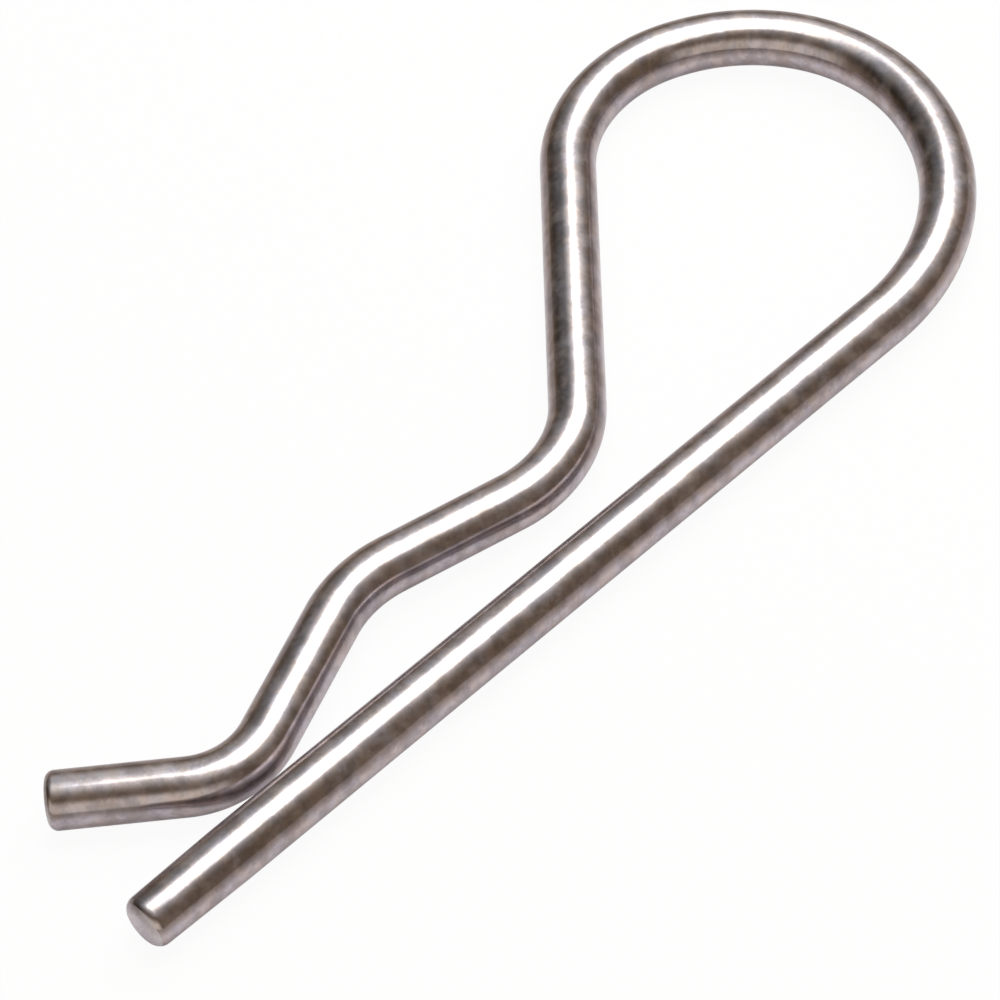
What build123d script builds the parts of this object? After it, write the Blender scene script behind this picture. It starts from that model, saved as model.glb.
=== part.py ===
from build123d import *
import os
from math import cos, radians, sin

# A hitch pin clip: one length of round spring wire, bent in a single plane. The straight leg
# goes through the cross hole of a shaft, and the formed leg springs over the outside of it.
# Lengths are in millimetres and angles in degrees. The clip lies flat, as it rests on a table:
# the straight leg runs along X with its tip towards -X, the formed leg is on the +Y side, and
# the origin is under the middle of the clip, at table level.

# Wire
wire_diameter = 4.5

# Straight leg, from the face of its tip to where the loop begins
straight_leg_length = 76.2
tip_taper_length = 8.5
tip_diameter = 4.25
tip_edge_radius = 0.95

# Spring loop, in three arcs that tighten towards the formed leg, each by its centreline radius
loop_lead_radius = 18.4
loop_lead_turn = 75
loop_crown_radius = 16.0
loop_crown_turn = 83
loop_return_radius = 12.4
loop_return_turn = 70

# Clear gaps between the two legs, wire surface to wire surface
waist_gap = 3.5
shaft_gap = 6.5
heel_gap = 0.72

# Formed leg: the inside radius of each bend, and the slope of the wire beside it
waist_bend_radius = 8.0
hump_rise_angle = 13.5
hump_bend_radius = 8.25
hump_fall_angle = 23
heel_bend_radius = 4.55
flare_angle = 40
flare_length = 10.3
free_edge_radius = 0.7

# Distances of the formed leg's centreline from the axis of the straight leg
wire_radius = wire_diameter / 2
waist_height = wire_diameter + waist_gap
hump_height = wire_diameter + shaft_gap
heel_height = wire_diameter + heel_gap

# Centreline radii of the three bends of the formed leg
waist_radius = waist_bend_radius + wire_radius
hump_radius = hump_bend_radius + wire_radius
heel_radius = heel_bend_radius + wire_radius

# The wire comes down from the loop at the angle by which the loop turns past a half circle
descent_angle = loop_lead_turn + loop_crown_turn + loop_return_turn - 180


def straight_run(height_change, bend_radii, slope):
    """Length of the straight wire that, with its share of the bends at its ends, climbs or
    drops by height_change at the given slope."""
    taken_by_bends = bend_radii * (1 - cos(radians(slope)))
    return (height_change - taken_by_bends) / sin(radians(slope))


rise_run = straight_run(hump_height - waist_height, waist_radius + hump_radius, hump_rise_angle)
fall_run = straight_run(hump_height - heel_height, hump_radius + heel_radius, hump_fall_angle)

# Centreline of the bent wire, from the wide end of the tip's taper to the flared free end
with BuildLine() as centreline:
    straight_leg = Line((tip_taper_length, 0), (straight_leg_length, 0))
    loop_lead = JernArc(straight_leg @ 1, straight_leg % 1, loop_lead_radius, loop_lead_turn)
    loop_crown = JernArc(loop_lead @ 1, loop_lead % 1, loop_crown_radius, loop_crown_turn)
    loop_return = JernArc(loop_crown @ 1, loop_crown % 1, loop_return_radius, loop_return_turn)
    descent_drop = (loop_return @ 1).Y - waist_height
    descent_run = straight_run(descent_drop, waist_radius, descent_angle)
    descent = PolarLine(loop_return @ 1, descent_run, direction=loop_return % 1)
    waist_bend = JernArc(descent @ 1, descent % 1, waist_radius, -descent_angle - hump_rise_angle)
    rise = PolarLine(waist_bend @ 1, rise_run, direction=waist_bend % 1)
    hump_bend = JernArc(rise @ 1, rise % 1, hump_radius, hump_rise_angle + hump_fall_angle)
    fall = PolarLine(hump_bend @ 1, fall_run, direction=hump_bend % 1)
    heel_bend = JernArc(fall @ 1, fall % 1, heel_radius, -hump_fall_angle - flare_angle)
    flare = PolarLine(heel_bend @ 1, flare_length, direction=heel_bend % 1)

# The wire itself, drawn with the face of its tip at the origin
with BuildPart() as bent_wire:
    add(centreline.line)
    with BuildSketch(Plane(origin=straight_leg @ 0, z_dir=straight_leg % 0)) as wire_section:
        Circle(wire_radius)
    sweep()
    # The tip is drawn down to a slight taper, so that it finds the cross hole
    with BuildSketch(Plane.XY) as tip_half_section:
        with BuildLine() as tip_outline:
            Polyline(
                (0, 0),
                (tip_taper_length, 0),
                (tip_taper_length, wire_radius),
                (0, tip_diameter / 2),
                close=True,
            )
        make_face()
    revolve(axis=Axis.X)
    # Both ends were cut square and then tumbled, which rounds their edges
    tip_face = bent_wire.faces().filter_by(GeomType.PLANE).sort_by_distance((0, 0))[0]
    fillet(tip_face.edges(), tip_edge_radius)
    free_face = bent_wire.faces().filter_by(GeomType.PLANE).sort_by_distance(flare @ 1)[0]
    fillet(free_face.edges(), free_edge_radius)

# The clip where it lies: centred over the origin, its wire touching the table all along
drawn_box = bent_wire.part.bounding_box()
with BuildPart() as spring_wire:
    with Locations((-drawn_box.center().X, -drawn_box.center().Y, wire_radius)):
        add(bent_wire.part)

spring_wire.part.label = "spring_wire"

os.makedirs("parts", exist_ok=True)
export_step(spring_wire.part, "parts/spring_wire.step")
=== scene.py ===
"""A hitch pin clip of bright spring wire, lying flat on a white table.

The clip is one length of round wire. Its straight leg goes through the cross hole of a shaft,
its wavy leg springs over the outside of that shaft, and the loop between them is pulled to take
it off. Lengths are in metres and angles in degrees, unless a name says otherwise.
"""

import logging
from dataclasses import dataclass
from enum import Enum
from math import atan2, cos, hypot, pi, radians, sin, tan

import bmesh
import bpy
from mathutils import Matrix, Vector


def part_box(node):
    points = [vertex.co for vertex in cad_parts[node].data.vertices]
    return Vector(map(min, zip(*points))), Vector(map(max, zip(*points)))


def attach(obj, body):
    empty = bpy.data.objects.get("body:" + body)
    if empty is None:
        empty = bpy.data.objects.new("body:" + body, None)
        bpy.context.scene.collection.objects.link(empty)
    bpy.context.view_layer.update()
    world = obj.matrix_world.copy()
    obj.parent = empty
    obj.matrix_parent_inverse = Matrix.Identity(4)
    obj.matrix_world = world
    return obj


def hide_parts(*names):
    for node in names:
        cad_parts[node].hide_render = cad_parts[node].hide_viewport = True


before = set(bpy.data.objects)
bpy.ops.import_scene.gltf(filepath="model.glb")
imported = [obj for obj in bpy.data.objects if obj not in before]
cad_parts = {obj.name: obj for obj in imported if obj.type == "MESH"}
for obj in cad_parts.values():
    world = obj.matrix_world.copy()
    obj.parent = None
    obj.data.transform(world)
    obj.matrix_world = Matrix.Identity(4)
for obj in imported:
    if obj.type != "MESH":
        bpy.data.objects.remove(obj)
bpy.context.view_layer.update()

MM = 0.001
BODY = "root"
CAD_WIRE = "spring_wire"
# The vertex attribute that says where a point would be on the wire before it was bent
UNBENT_PLACE = "unbent_place"

log = logging.getLogger("hitch_pin_clip")

Colour = tuple[float, float, float]
# The two ends of a range
Span = tuple[float, float]
# An azimuth from +X and an elevation above the horizon, in degrees
Bearing = tuple[float, float]

WHITE: Colour = (1.0, 1.0, 1.0)


# Wire ---------------------------------------------------------------------------------------


class Hand(Enum):
    """Which way a bend turns, seen from above and looking along the wire."""

    LEFT = 1
    RIGHT = -1


@dataclass(frozen=True)
class Stretch:
    """A length of the bent wire's centreline that is straight, or one arc.

    Attributes:
        start: Where the stretch begins.
        heading: Its direction there, as an angle from +X in radians.
        length: Its length along the centreline.
        curvature: One over the bend's radius, positive to the left and 0 where straight.
        fed: The length of wire before it.
    """

    start: Vector
    heading: float
    length: float
    curvature: float
    fed: float

    def unbend(self, point: Vector) -> Vector:
        """Gives the place that a point of the wire had before the wire was bent.

        Args:
            point: A point of the bent wire.

        Returns:
            Its distance along the wire, its offset to the left and its height over the axis.
        """
        ahead = Vector((cos(self.heading), sin(self.heading), 0))
        left = Vector((-ahead.y, ahead.x, 0))
        reach = point - self.start
        if not self.curvature:
            return Vector((self.fed + reach.dot(ahead), reach.dot(left), reach.z))
        radius = 1 / self.curvature
        from_centre = reach - left * radius
        side = 1 if radius > 0 else -1
        swept = atan2(from_centre.dot(ahead), -side * from_centre.dot(left))
        across = radius - side * hypot(from_centre.x, from_centre.y)
        return Vector((self.fed + swept * abs(radius), across, reach.z))

    def holds(self, unbent: Vector, slack: float) -> bool:
        """Says whether a point's unbent place lies along this stretch, to within the slack."""
        return -slack <= unbent.x - self.fed <= self.length + slack


class WireBender:
    """Feeds a round wire out flat along the table and bends it, as a bending machine does.

    The mesh grows from a ring of vertices at the wire's front, which is extruded straight ahead
    or spun round the centre of a bend.
    """

    # The cosine of the angle from the wire's axis within which a face counts as cut
    CUT_SLOPE = 0.62
    # How far past a stretch's ends a point may be and still be taken to lie along it
    SLACK = 0.01 * MM

    def __init__(self, start: Vector, radius: float, sides: int) -> None:
        """Starts the wire with a ring that faces along +X.

        Args:
            start: Where the centre of the wire's first end is.
            radius: The radius of the first ring.
            sides: How many sides the round wire has.
        """
        self.mesh = bmesh.new()
        self.place = start.copy()
        self.heading = 0.0
        self.fed = 0.0
        self.stretches: list[Stretch] = []
        facing = Matrix.Translation(start) @ Matrix.Rotation(pi / 2, 4, "Y")
        ring = bmesh.ops.create_circle(
            self.mesh, cap_ends=False, segments=sides, radius=radius, matrix=facing
        )
        # A dict rather than a set, because it keeps the edges in the same order in each run
        edges = (edge for vert in ring["verts"] for edge in vert.link_edges)
        self.front = list(dict.fromkeys(edges))
        self.first_ring = list(self.front)

    @property
    def ahead(self) -> Vector:
        """The direction in which the wire now points."""
        return Vector((cos(self.heading), sin(self.heading), 0))

    def _record(self, length: float, curvature: float) -> None:
        """Notes down the stretch that starts at the front."""
        self.stretches.append(
            Stretch(self.place.copy(), self.heading, length, curvature, self.fed)
        )
        self.fed += length

    def feed(self, length: float, spacing: float, swell: float = 1.0) -> None:
        """Pushes the front straight ahead.

        Args:
            length: How far.
            spacing: The most that two rings may be apart.
            swell: How much wider the wire is at the end of this length than at its start.
        """
        self._record(length, 0.0)
        steps = max(1, round(length / spacing))
        for step in range(steps):
            grown = bmesh.ops.extrude_edge_only(self.mesh, edges=self.front)["geom"]
            verts = [item for item in grown if isinstance(item, bmesh.types.BMVert)]
            self.front = [item for item in grown if isinstance(item, bmesh.types.BMEdge)]
            bmesh.ops.translate(self.mesh, verts=verts, vec=self.ahead * (length / steps))
            self.place += self.ahead * (length / steps)
            if swell != 1.0:
                before = 1 + (swell - 1) * step / steps
                after = 1 + (swell - 1) * (step + 1) / steps
                bmesh.ops.scale(
                    self.mesh,
                    verts=verts,
                    vec=Vector((after / before,) * 3),
                    space=Matrix.Translation(-self.place),
                )

    def bend(self, radius: float, angle: float, hand: Hand, spacing: float) -> None:
        """Turns the wire about a point beside it.

        Args:
            radius: The bend's radius on the wire's centreline.
            angle: How far it turns, in degrees.
            hand: Which way it turns.
            spacing: The most that two rings may be apart, as an angle in degrees.
        """
        self._record(radius * radians(angle), hand.value / radius)
        left = Vector((-self.ahead.y, self.ahead.x, 0))
        centre = self.place + left * radius * hand.value
        turn = radians(angle) * hand.value
        spun = bmesh.ops.spin(
            self.mesh,
            geom=self.front,
            cent=centre,
            axis=Vector((0, 0, 1)),
            angle=turn,
            steps=max(1, round(angle / spacing)),
            use_merge=False,
            use_duplicate=False,
        )
        self.front = [g for g in spun["geom_last"] if isinstance(g, bmesh.types.BMEdge)]
        self.place = centre + Matrix.Rotation(turn, 3, "Z") @ (self.place - centre)
        self.heading += turn

    def cut_off(self, first_edge: float, last_edge: float, segments: int) -> None:
        """Closes both ends with flat faces and rounds the edges of those faces.

        Args:
            first_edge: The radius of the rounding at the first end.
            last_edge: The radius of the rounding at the last end.
            segments: How many faces wide each rounding is.
        """
        for ring, edge_radius in ((self.first_ring, first_edge), (self.front, last_edge)):
            face = bmesh.ops.contextual_create(self.mesh, geom=ring)["faces"][0]
            bmesh.ops.bevel(
                self.mesh,
                geom=list(face.edges),
                offset=edge_radius,
                offset_type="OFFSET",
                segments=segments,
                profile=0.5,
                affect="EDGES",
                material=-1,
                clamp_overlap=True,
            )
        bmesh.ops.recalc_face_normals(self.mesh, faces=self.mesh.faces)

    def settle_order(self) -> None:
        """Sorts the edges and faces, whose order after bmesh's operators varies by run."""
        self.mesh.verts.index_update()
        count = len(self.mesh.verts)

        def rank(item: bmesh.types.BMEdge | bmesh.types.BMFace) -> float:
            """Ranks an edge or a face by its three lowest vertices, which no other has."""
            lowest = sorted(vert.index for vert in item.verts)[:3]
            return float(sum(v * count**power for power, v in enumerate(reversed(lowest))))

        self.mesh.edges.sort(key=rank)
        self.mesh.faces.sort(key=rank)

    def is_cut(self, face: bmesh.types.BMFace, reach: float) -> bool:
        """Says whether a face belongs to one of the two cut ends, rather than to the wire's side.

        Args:
            face: A face of the wire.
            reach: How far the cut ends reach from the ends of the centreline.

        Returns:
            True if the face is near an end and faces out along the wire.
        """
        middle = face.calc_center_median()
        first_end = (self.stretches[0].start, Vector((-1, 0, 0)))
        last_end = (self.place, self.ahead)
        return any(
            (middle - end).length < reach and face.normal.dot(outward) > self.CUT_SLOPE
            for end, outward in (first_end, last_end)
        )

    def unbent(self, point: Vector) -> Vector:
        """Gives the place that a point had before the wire was bent, by its nearest stretch."""
        places = [(s, s.unbend(point)) for s in self.stretches]
        along = [u for s, u in places if s.holds(u, self.SLACK)] or [u for _, u in places]
        return min(along, key=lambda unbent: abs(unbent.y))


@dataclass
class SpringWire:
    """The clip's one piece: the bent wire. Its sizes are those of the CAD solid.

    Attributes:
        finish: The material of the drawn surface.
        cut_finish: The material of the two cut ends.
        sides: How many sides the round wire has.
        edge_segments: How many faces wide the rounding of each end's edge is.
        cut_reach: How far the cut ends reach from the centreline's ends, in wire radii.
        ring_spacing: The most that two rings of the straight wire may be apart.
        ring_turn: The same where the wire is bent, as an angle.
    """

    finish: "DrawnSteel"
    cut_finish: "DrawnSteel"

    wire_radius: float = 2.25 * MM

    # Straight leg
    tip_taper: float = 8.5 * MM
    tip_radius: float = 2.125 * MM
    tip_edge_radius: float = 0.95 * MM
    straight_leg: float = 76.2 * MM

    # The loop's three arcs, as centreline radius and turn
    loop_arcs: tuple[tuple[float, float], ...] = (
        (18.4 * MM, 75.0),
        (16.0 * MM, 83.0),
        (12.4 * MM, 70.0),
    )

    # Wavy leg: centreline radii, slopes, and straight runs between the bends
    descent_run: float = 24.2525 * MM
    waist_radius: float = 10.25 * MM
    rise_angle: float = 13.5
    rise_run: float = 10.4 * MM
    hump_radius: float = 10.5 * MM
    fall_angle: float = 23.0
    fall_run: float = 11.27 * MM
    heel_radius: float = 6.8 * MM
    flare_angle: float = 40.0
    flare_length: float = 10.3 * MM
    free_edge_radius: float = 0.7 * MM

    # How finely the mesh is divided
    sides: int = 96
    edge_segments: int = 10
    cut_reach: float = 1.1
    ring_spacing: float = 3.0 * MM
    ring_turn: float = 1.5

    def bend_up(self) -> WireBender:
        """Bends the whole wire, from the tip of the straight leg to the flared free end.

        Returns:
            The bender, which holds the finished mesh and the stretches of the centreline.
        """
        low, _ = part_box(CAD_WIRE)
        start = Vector((low.x, low.y + self.wire_radius, low.z + self.wire_radius))
        descent_angle = sum(turn for _, turn in self.loop_arcs) - 180

        bender = WireBender(start, self.tip_radius, self.sides)
        bender.feed(self.tip_taper, self.ring_spacing, self.wire_radius / self.tip_radius)
        bender.feed(self.straight_leg - self.tip_taper, self.ring_spacing)
        for radius, turn in self.loop_arcs:
            bender.bend(radius, turn, Hand.LEFT, self.ring_turn)
        bender.feed(self.descent_run, self.ring_spacing)
        waist_turn = descent_angle + self.rise_angle
        bender.bend(self.waist_radius, waist_turn, Hand.RIGHT, self.ring_turn)
        bender.feed(self.rise_run, self.ring_spacing)
        hump_turn = self.rise_angle + self.fall_angle
        bender.bend(self.hump_radius, hump_turn, Hand.LEFT, self.ring_turn)
        bender.feed(self.fall_run, self.ring_spacing)
        heel_turn = self.fall_angle + self.flare_angle
        bender.bend(self.heel_radius, heel_turn, Hand.RIGHT, self.ring_turn)
        bender.feed(self.flare_length, self.ring_spacing)
        bender.cut_off(self.tip_edge_radius, self.free_edge_radius, self.edge_segments)
        bender.settle_order()
        return bender

    def build(self) -> bpy.types.Object:
        """Makes the wire's object and puts it in the CAD node's stead.

        Returns:
            The finished piece.
        """
        bender = self.bend_up()
        place = bender.mesh.verts.layers.float_vector.new(UNBENT_PLACE)
        for vert in bender.mesh.verts:
            vert[place] = bender.unbent(vert.co)
        for face in bender.mesh.faces:
            face.smooth = len(face.verts) != self.sides
            face.material_index = int(bender.is_cut(face, self.cut_reach * self.wire_radius))

        mesh = bpy.data.meshes.new("bent_wire")
        bender.mesh.to_mesh(mesh)
        bender.mesh.free()
        mesh.materials.append(self.finish.material())
        mesh.materials.append(self.cut_finish.material())
        piece = bpy.data.objects.new("bent_wire", mesh)
        bpy.context.scene.collection.objects.link(piece)
        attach(piece, BODY)
        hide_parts(CAD_WIRE)
        return piece


# Finishes -----------------------------------------------------------------------------------

# The noises of the wire's grain, each as its scale per millimetre, its detail and its roughness.
# The mottle's scale comes from the finish.
MOTTLE_NOISE = (4.0, 0.65)
CLOUD_NOISE = (0.5, 4.0, 0.7)
TINT_NOISE = (0.6, 3.0, 0.6)
WAVE_NOISE = (0.8, 1.0, 0.5)
LINE_NOISE = (4.5, 3.0, 0.6)
# A shift that gives a noise with no likeness to the one at the place itself
ASIDE = (17.0, 31.0, 53.0)
# The scaling of the place that draws a noise out into lines along the wire
DRAWN_OUT = Vector((0.05, 1.0, 1.0))

# The range of each noise over which it changes the finish
HUE_SPAN = (0.32, 0.68)
STAIN_SPAN = (0.38, 0.62)
ROUGHNESS_SPAN = (0.40, 0.60)
HAZE_SPAN = (0.42, 0.68)
# The least roughness of the wire as it is mirrored in itself
MIRRORED_ROUGHNESS = 0.45


def opaque(colour: Colour) -> tuple[float, float, float, float]:
    """Gives a colour with its alpha of 1, as colour sockets take it."""
    return (*colour, 1.0)


class NodeSheet:
    """A node tree, with short ways to add nodes and join them."""

    # A Mix node's colour sockets, by number since its other kinds of value share their names
    MIX_LOW, MIX_HIGH, MIX_RESULT = 6, 7, 2

    def __init__(self, tree: bpy.types.NodeTree) -> None:
        """Takes the tree and empties it."""
        self.tree = tree
        self.tree.nodes.clear()

    def add(self, kind: str, inputs: dict | None = None, **settings: object) -> bpy.types.Node:
        """Adds a node.

        Args:
            kind: The node's type, without its ShaderNode prefix unless it is a group's node.
            inputs: For each input, by name or number, a value or an output socket to join.
            settings: The node's own properties.

        Returns:
            The new node.
        """
        prefix = "" if kind.startswith("NodeGroup") else "ShaderNode"
        node = self.tree.nodes.new(prefix + kind)
        for name, value in settings.items():
            setattr(node, name, value)
        for key, value in (inputs or {}).items():
            if isinstance(value, bpy.types.NodeSocket):
                self.tree.links.new(value, node.inputs[key])
            else:
                node.inputs[key].default_value = value
        return node

    def maths(self, operation: str, *values: object) -> bpy.types.NodeSocket:
        """Adds a Math node and gives its output."""
        node = self.add("Math", dict(enumerate(values)), operation=operation)
        return node.outputs[0]

    def blend(self, factor: object, low: object, high: object) -> bpy.types.NodeSocket:
        """Mixes two colours by a factor and gives the result."""
        inputs = {0: factor, self.MIX_LOW: low, self.MIX_HIGH: high}
        return self.add("Mix", inputs, data_type="RGBA").outputs[self.MIX_RESULT]

    def lean(self, vector: object, direction: Vector) -> bpy.types.NodeSocket:
        """Gives how far a vector leans towards a direction, as their dot product."""
        node = self.add("VectorMath", {0: vector, 1: direction}, operation="DOT_PRODUCT")
        return node.outputs["Value"]

    def remap(self, value: object, low: float, high: float, *to: float) -> bpy.types.NodeSocket:
        """Maps a value from a range to another, 0 to 1 unless given, smoothly and clamped."""
        to_low, to_high = to or (0.0, 1.0)
        inputs = {
            "Value": value,
            "From Min": low,
            "From Max": high,
            "To Min": to_low,
            "To Max": to_high,
        }
        node = self.add("MapRange", inputs, interpolation_type="SMOOTHSTEP")
        return node.outputs[0]


def wire_grain() -> bpy.types.NodeTree:
    """Builds the group that draws the grain of drawn and tumbled wire.

    Its input is a point's place on the unbent wire. It puts out a fine mottle, broad clouds,
    a tint that changes slowly along the wire, and a height in metres.

    Returns:
        The node group.
    """
    name = "wire_grain"
    if name in bpy.data.node_groups:
        return bpy.data.node_groups[name]
    group = bpy.data.node_groups.new(name, "ShaderNodeTree")
    group.interface.new_socket("Place", in_out="INPUT", socket_type="NodeSocketVector")
    for label in ("Grain per mm", "Grain depth", "Wave depth", "Line depth"):
        group.interface.new_socket(label, in_out="INPUT", socket_type="NodeSocketFloat")
    for label in ("Mottle", "Clouds", "Tint", "Height"):
        group.interface.new_socket(label, in_out="OUTPUT", socket_type="NodeSocketFloat")

    sheet = NodeSheet(group)
    given = sheet.add("NodeGroupInput").outputs
    in_mm = sheet.add("VectorMath", {0: given["Place"], "Scale": 1 / MM}, operation="SCALE")
    place = in_mm.outputs[0]

    def noise(
        vector: bpy.types.NodeSocket,
        scale: bpy.types.NodeSocket | float,
        detail: float,
        roughness: float,
    ) -> bpy.types.NodeSocket:
        """Adds a noise texture and gives its value."""
        inputs = {"Vector": vector, "Scale": scale, "Detail": detail, "Roughness": roughness}
        return sheet.add("TexNoise", inputs).outputs[0]

    mottle = noise(place, given["Grain per mm"], *MOTTLE_NOISE)
    aside = sheet.add("VectorMath", {0: place, 1: ASIDE}, operation="ADD").outputs[0]
    clouds = noise(aside, *CLOUD_NOISE)
    beyond = sheet.add("VectorMath", {0: aside, 1: ASIDE}, operation="ADD").outputs[0]
    tint = noise(beyond, *TINT_NOISE)
    waves = noise(beyond, *WAVE_NOISE)
    drawn_out = sheet.add("Mapping", {"Vector": place, "Scale": DRAWN_OUT})
    lines = noise(drawn_out.outputs[0], *LINE_NOISE)
    height = sheet.maths("MULTIPLY", mottle, given["Grain depth"])
    height = sheet.maths("MULTIPLY_ADD", waves, given["Wave depth"], height)
    height = sheet.maths("MULTIPLY_ADD", lines, given["Line depth"], height)
    sheet.add(
        "NodeGroupOutput", {"Mottle": mottle, "Clouds": clouds, "Tint": tint, "Height": height}
    )
    return group


@dataclass(frozen=True)
class DrawnSteel:
    """Bright steel wire that tumbling has left with dull, scattering patches.

    Attributes:
        name: The material's name.
        cool: The metal's colour where it leans to blue.
        warm: The metal's colour where it leans to brown.
        stain: How much darker its dark patches are.
        roughness: Its roughness where it is smoothest.
        roughness_spread: How much rougher it is elsewhere.
        haze: How much of its shine the metal has lost to scattering where it is dullest.
        grain_per_mm: How fine the mottle is.
        grain_depth: How deep the mottle is.
        wave_depth: How deep the broad unevenness is.
        line_depth: How deep the drawn lines are.
    """

    name: str
    cool: Colour
    warm: Colour
    stain: float
    roughness: float
    roughness_spread: float
    haze: float
    grain_per_mm: float
    grain_depth: float
    wave_depth: float
    line_depth: float

    def material(self) -> bpy.types.Material:
        """Builds the material.

        Returns:
            The new material.
        """
        made = bpy.data.materials.new(self.name)
        made.use_nodes = True
        sheet = NodeSheet(made.node_tree)
        place = sheet.add("Attribute", attribute_type="GEOMETRY", attribute_name=UNBENT_PLACE)
        grain = sheet.add("Group", node_tree=wire_grain())
        sheet.tree.links.new(place.outputs["Vector"], grain.inputs["Place"])
        grain.inputs["Grain per mm"].default_value = self.grain_per_mm
        grain.inputs["Grain depth"].default_value = self.grain_depth
        grain.inputs["Wave depth"].default_value = self.wave_depth
        grain.inputs["Line depth"].default_value = self.line_depth
        mottle, clouds, tint, height = (
            grain.outputs[label] for label in ("Mottle", "Clouds", "Tint", "Height")
        )

        hue = sheet.remap(tint, *HUE_SPAN)
        colour = sheet.blend(hue, opaque(self.cool), opaque(self.warm))
        dimming = sheet.remap(mottle, *STAIN_SPAN, 1.0 - self.stain, 1.0)
        colour = sheet.add("VectorMath", {0: colour, "Scale": dimming}, operation="SCALE")
        rougher = self.roughness + self.roughness_spread
        roughness = sheet.remap(clouds, *ROUGHNESS_SPAN, rougher, self.roughness)
        # Where the wire mirrors itself, the second reflection is dull
        glossy = sheet.add("LightPath").outputs["Is Glossy Ray"]
        again = sheet.maths("MULTIPLY", glossy, MIRRORED_ROUGHNESS)
        roughness = sheet.maths("MAXIMUM", roughness, again)
        bump = sheet.add("Bump", {"Height": height, "Distance": 1.0})
        surface = sheet.add(
            "BsdfPrincipled",
            {
                "Base Color": colour.outputs[0],
                "Metallic": sheet.remap(clouds, *HAZE_SPAN, 1.0, 1.0 - self.haze),
                "Roughness": roughness,
                "Normal": bump.outputs[0],
            },
        )
        sheet.add("OutputMaterial", {"Surface": surface.outputs[0]})
        return made


# Studio -------------------------------------------------------------------------------------


def towards(azimuth: float, elevation: float) -> Vector:
    """Gives a direction.

    Args:
        azimuth: The angle from +X, in degrees.
        elevation: The angle above the horizon, in degrees.

    Returns:
        The unit vector that points that way.
    """
    around, up = radians(azimuth), radians(elevation)
    return Vector((cos(up) * cos(around), cos(up) * sin(around), sin(up)))


@dataclass(frozen=True)
class TableTop:
    """The white table. The clip's shadow stays on it, though it is the background's white.

    Attributes:
        half_width: Half the side of the square table top.
        colour: Its colour.
        lift: How much of what the camera sees of it doesn't depend on the lamps.
        mirrored_lift: The same for what the metal mirrors.
        mirrored_near: Its colour as the metal mirrors it right beside the wire.
        mirrored_far_shade: The same further off, painted darker: painted shade standing in for
            the light on the table falling off with distance.
        mirror_height: The height over the table from which the metal mirrors it.
        mirror_span: The ratios of that height to the distance at which the table counts as far
            and as near.
    """

    half_width: float = 4.0
    colour: Colour = (0.92, 0.92, 0.92)
    lift: float = 0.94
    mirrored_lift: float = 0.25
    mirrored_near: Colour = (0.90, 0.87, 0.91)
    mirrored_far_shade: Colour = (0.41, 0.358, 0.33)
    mirror_height: float = 2.25 * MM
    mirror_span: Span = (0.0, 0.6)

    def build(self) -> bpy.types.Object:
        """Makes the table top, with its upper side at height 0.

        Returns:
            The table's object.
        """
        shape = bmesh.new()
        bmesh.ops.create_grid(shape, x_segments=1, y_segments=1, size=self.half_width)
        mesh = bpy.data.meshes.new("table_top")
        shape.to_mesh(mesh)
        shape.free()
        mesh.materials.append(self.material())
        table = bpy.data.objects.new("table_top", mesh)
        bpy.context.scene.collection.objects.link(table)
        return table

    def material(self) -> bpy.types.Material:
        """Builds the table's matt white.

        Returns:
            The new material.
        """
        made = bpy.data.materials.new("table_white")
        made.use_nodes = True
        sheet = NodeSheet(made.node_tree)
        ray = sheet.add("LightPath").outputs
        # Painted shade: the table the metal mirrors turns from the near colour to the darker far
        # colour as the ray grows longer, as if its light fell off with distance
        nearness = sheet.maths("DIVIDE", self.mirror_height, ray["Ray Length"])
        near = sheet.remap(nearness, *self.mirror_span)
        mirrored = sheet.blend(near, opaque(self.mirrored_far_shade), opaque(self.mirrored_near))
        plain = sheet.blend(ray["Is Glossy Ray"], opaque(self.colour), mirrored)
        bright = sheet.blend(ray["Is Glossy Ray"], opaque(WHITE), mirrored)
        matt = sheet.add("BsdfDiffuse", {"Color": plain})
        white = sheet.add("Emission", {"Color": bright, "Strength": 1.0})
        straight = sheet.maths("MAXIMUM", ray["Is Camera Ray"], ray["Is Transmission Ray"])
        lifted = sheet.maths("MULTIPLY", straight, self.lift)
        lifted = sheet.maths("MULTIPLY_ADD", ray["Is Glossy Ray"], self.mirrored_lift, lifted)
        mixed = sheet.add("MixShader", {0: lifted, 1: matt.outputs[0], 2: white.outputs[0]})
        sheet.add("OutputMaterial", {"Surface": mixed.outputs[0]})
        return made


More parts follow.
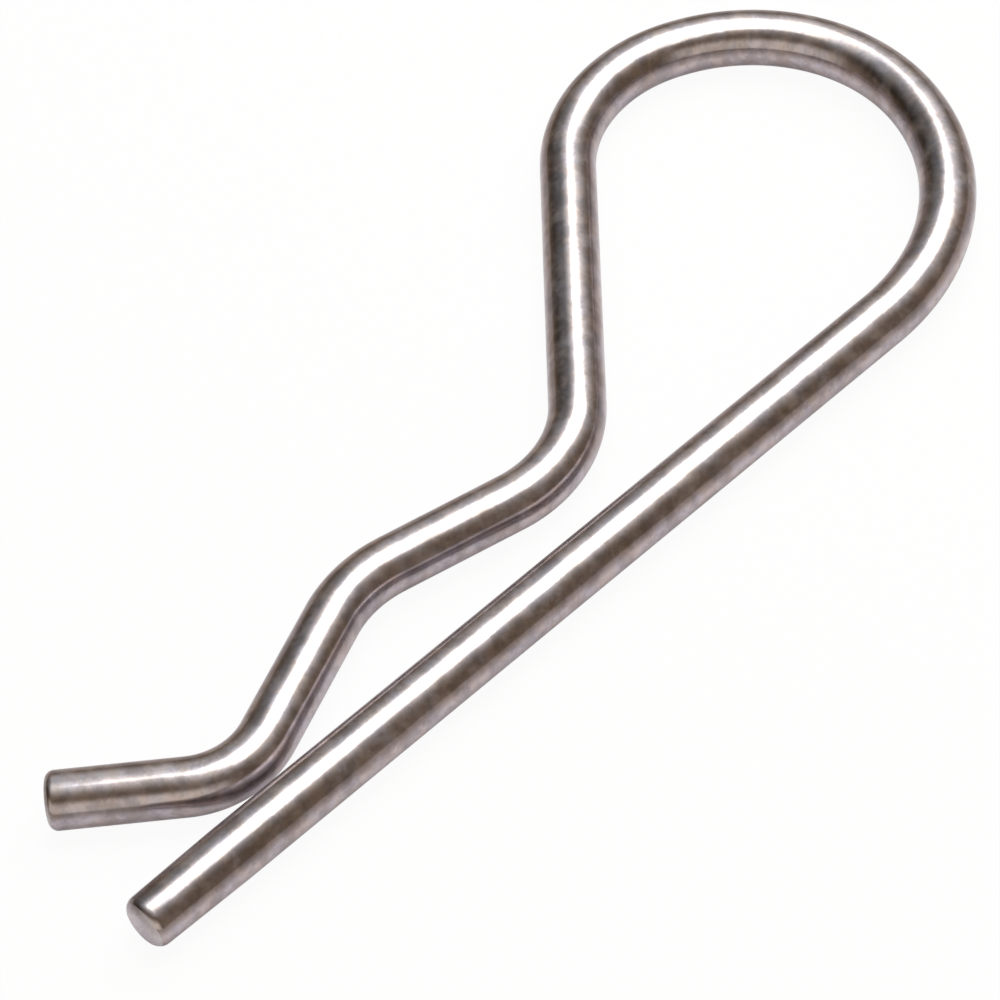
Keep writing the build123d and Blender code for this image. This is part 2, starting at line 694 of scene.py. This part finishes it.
@dataclass(frozen=True)
class SoftBox:
    """The softbox that lights the clip from above its loop.

    Attributes:
        azimuth: Where it stands, as an angle from +X.
        elevation: How high it stands.
        distance: How far it is from the clip.
        half_length: Half its length as seen from the clip, as an angle.
        half_width: Half its width, likewise.
        tilt: How far its length is turned from level, as an angle.
        radiance: How bright its face is, where 1 is white.
        tint: The colour of its light.
    """

    azimuth: float = 11.4
    elevation: float = 66.0
    distance: float = 0.315
    half_length: float = 25.4
    half_width: float = 20.8
    tilt: float = 97.4
    radiance: float = 2.25
    tint: Colour = (0.98, 1.0, 0.95)

    def build(self) -> bpy.types.Object:
        """Makes the lamp.

        Returns:
            The lamp's object.
        """
        lamp = bpy.data.lights.new("softbox", "AREA")
        lamp.shape = "RECTANGLE"
        lamp.size = 2 * self.distance * tan(radians(self.half_length))
        lamp.size_y = 2 * self.distance * tan(radians(self.half_width))
        lamp.energy = self.radiance * pi * lamp.size * lamp.size_y
        lamp.color = self.tint
        softbox = bpy.data.objects.new("softbox", lamp)
        out = towards(self.azimuth, self.elevation)
        level = Vector((0, 0, 1)).cross(out).normalized()
        turn = Matrix.Rotation(radians(self.tilt), 4, out)
        axes = Matrix((level, out.cross(level), out)).transposed().to_4x4()
        softbox.matrix_world = Matrix.Translation(out * self.distance) @ turn @ axes
        softbox.visible_camera = False
        bpy.context.scene.collection.objects.link(softbox)
        return softbox


@dataclass(frozen=True)
class Room:
    """The dim studio round the table, which the bright metal mirrors.

    Attributes:
        walls: The walls as the clip sees them.
        far_corner: The darkest part of the room.
        far_place: Where that is.
        far_tightness: How small it is.
        far_span: The range of its strength over which the walls darken.
        near_wall: The pale wall behind and below the camera.
        near_azimuth: Where that is.
        near_side: The cosines of the angles from there at which it ends and is at its palest.
        near_top: The sines of the elevations at which it starts to fade upwards and has gone.
        scrim: The glow of the scrim round the softbox, at its middle.
        scrim_place: Where that middle is.
        scrim_tightness: How small that glow is.
        flag: How much of the glow a black flag beside the softbox takes away.
        flag_place: Where the flag hangs.
        flag_tightness: How small the flag is.
    """

    walls: Colour = (0.190, 0.145, 0.105)
    far_corner: Colour = (0.040, 0.028, 0.016)
    far_place: Bearing = (109.0, 40.0)
    far_tightness: float = 6.1
    far_span: Span = (0.0, 0.65)
    near_wall: Colour = (0.85, 0.79, 0.71)
    near_azimuth: float = -148.0
    near_side: Span = (0.529, 0.893)
    near_top: Span = (0.45, 0.77)
    scrim: Colour = (1.82, 1.92, 1.95)
    scrim_place: Bearing = (31.5, 61.3)
    scrim_tightness: float = 5.5
    flag: float = 0.75
    flag_place: Bearing = (81.5, 44.3)
    flag_tightness: float = 18.9

    def build(self) -> bpy.types.World:
        """Makes the room as the scene's world.

        Returns:
            The world.
        """
        room = bpy.data.worlds.new("studio")
        room.use_nodes = True
        bpy.context.scene.world = room
        sheet = NodeSheet(room.node_tree)
        looks = sheet.add("TexCoord").outputs["Generated"]
        height = sheet.add("SeparateXYZ", {0: looks}).outputs["Z"]

        far = self.lobe(sheet, looks, towards(*self.far_place), self.far_tightness)
        far = sheet.remap(far, *self.far_span)
        colour = sheet.blend(far, opaque(self.walls), opaque(self.far_corner))

        # The direction of the ray along the horizon
        level = sheet.add("VectorMath", {0: looks, 1: (1.0, 1.0, 0.0)}, operation="MULTIPLY")
        level = sheet.add("VectorMath", {0: level.outputs[0]}, operation="NORMALIZE")
        side = sheet.lean(level.outputs[0], towards(self.near_azimuth, 0.0))
        beside = sheet.remap(side, *self.near_side)
        below = sheet.remap(height, *self.near_top, 1.0, 0.0)
        near = sheet.maths("MULTIPLY", beside, below)
        colour = sheet.blend(near, colour, opaque(self.near_wall))

        glow = self.lobe(sheet, looks, towards(*self.scrim_place), self.scrim_tightness)
        scrim = sheet.add("VectorMath", {0: self.scrim, "Scale": glow}, operation="SCALE")
        colour = sheet.add("VectorMath", {0: colour, 1: scrim.outputs[0]}, operation="ADD")
        flag = self.lobe(sheet, looks, towards(*self.flag_place), self.flag_tightness)
        passed = sheet.maths("MULTIPLY_ADD", flag, -self.flag, 1.0)
        lit = {0: colour.outputs[0], "Scale": passed}
        colour = sheet.add("VectorMath", lit, operation="SCALE")

        seen = sheet.add("LightPath").outputs["Is Camera Ray"]
        colour = sheet.blend(seen, colour.outputs[0], opaque(WHITE))
        light = sheet.add("Background", {"Color": colour, "Strength": 1.0})
        sheet.add("OutputWorld", {"Surface": light.outputs[0]})
        return room

    @staticmethod
    def lobe(
        sheet: NodeSheet, looks: bpy.types.NodeSocket, middle: Vector, tightness: float
    ) -> bpy.types.NodeSocket:
        """Gives a soft round patch of the room, 1 in its middle.

        Args:
            sheet: The world's nodes.
            looks: The direction in which a ray looks.
            middle: The direction of the patch's middle.
            tightness: How small the patch is.

        Returns:
            The patch's strength in that direction.
        """
        ahead = sheet.maths("MAXIMUM", sheet.lean(looks, middle), 0.0)
        return sheet.maths("POWER", ahead, tightness)


@dataclass(frozen=True)
class CameraStand:
    """The camera, which looks down on the clip from beyond the straight leg.

    Attributes:
        aim: The point that it looks at.
        azimuth: Where it stands, as an angle from +X.
        elevation: How high it stands.
        distance: How far it is from the point that it looks at.
        roll: How far it is turned about its own line of sight.
        lens: The focal length in millimetres.
        sensor: The sensor's width in millimetres.
        nearest: The least distance at which it sees.
        farthest: The greatest distance at which it sees.
    """

    aim: tuple[float, float, float] = (-4.320 * MM, -7.668 * MM, 2.25 * MM)
    azimuth: float = -126.0
    elevation: float = 52.0
    distance: float = 372.9 * MM
    roll: float = 9.136
    lens: float = 177.1
    sensor: float = 36.0
    nearest: float = 0.01
    farthest: float = 50.0

    def build(self) -> bpy.types.Object:
        """Makes the camera and gives it to the scene.

        Returns:
            The camera's object.
        """
        optics = bpy.data.cameras.new("camera")
        optics.lens = self.lens
        optics.sensor_width = self.sensor
        optics.clip_start = self.nearest
        optics.clip_end = self.farthest
        camera = bpy.data.objects.new("camera", optics)
        back = towards(self.azimuth, self.elevation)
        right = (-back).cross(Vector((0, 0, 1))).normalized()
        down = (-back).cross(right)
        turned = radians(self.roll)
        rolled_right = right * cos(turned) + down * sin(turned)
        rolled_up = right * sin(turned) - down * cos(turned)
        axes = Matrix((rolled_right, rolled_up, back)).transposed()
        place = Vector(self.aim) + back * self.distance
        camera.matrix_world = Matrix.Translation(place) @ axes.to_4x4()
        bpy.context.scene.collection.objects.link(camera)
        bpy.context.scene.camera = camera
        return camera


def main() -> None:
    """Builds the clip, the table, the lights and the camera."""
    logging.basicConfig(level=logging.INFO, format="%(name)s: %(message)s")
    bpy.context.scene.view_settings.view_transform = "Standard"
    drawn = DrawnSteel(
        name="bright_drawn_steel",
        cool=(0.545, 0.503, 0.545),
        warm=(0.580, 0.494, 0.472),
        stain=0.30,
        roughness=0.170,
        roughness_spread=0.025,
        haze=0.17,
        grain_per_mm=0.6,
        grain_depth=2.0e-6,
        wave_depth=7.0e-6,
        line_depth=0.3e-6,
    )
    sheared = DrawnSteel(
        name="sheared_steel",
        cool=(0.72, 0.69, 0.75),
        warm=(0.72, 0.68, 0.70),
        stain=0.12,
        roughness=0.42,
        roughness_spread=0.12,
        haze=0.20,
        grain_per_mm=3.0,
        grain_depth=6.0e-6,
        wave_depth=12.0e-6,
        line_depth=0.0,
    )
    wire = SpringWire(finish=drawn, cut_finish=sheared).build()
    wire.data.calc_loop_triangles()
    log.info("%s: %d triangles", wire.name, len(wire.data.loop_triangles))
    TableTop().build()
    SoftBox().build()
    Room().build()
    CameraStand().build()


if __name__ == "__main__":
    main()
